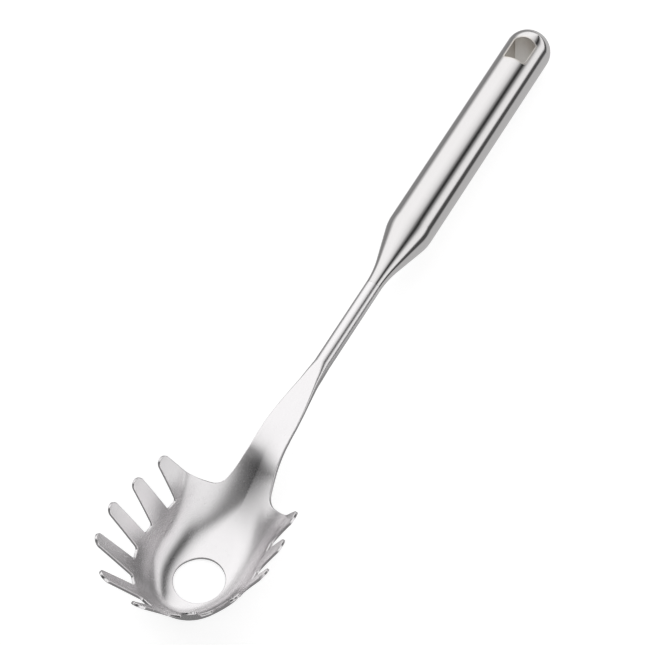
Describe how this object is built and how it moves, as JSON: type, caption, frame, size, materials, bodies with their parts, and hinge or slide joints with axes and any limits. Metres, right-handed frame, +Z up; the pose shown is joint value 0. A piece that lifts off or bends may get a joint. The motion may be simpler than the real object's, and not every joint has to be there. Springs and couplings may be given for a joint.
{
  "type": "pasta server",
  "caption": "Stainless steel pasta server: an open bowl ringed with upright round-tipped tines around a drain hole, on a slim neck and a round hollow handle with a hanging eye.",
  "frame": {"origin": "on the table under the middle of the server's length and width, as it lies on its bowl and handle end", "axes": "+Z up, +Y from the bowl towards the handle's domed end, +X to the right; x = 0 is the plane of symmetry"},
  "size_m": [0.0678, 0.3318, 0.0441],
  "materials": {
    "polished_head": "polished",
    "satin_handle": "fine satin"
  },
  "bodies": {
    "root": {"server_head": "polished_head", "handle_nose": "satin_handle", "handle_tube": "satin_handle", "end_cap": "satin_handle", "eye_sleeve": "satin_handle"}
  },
  "joints": []
}
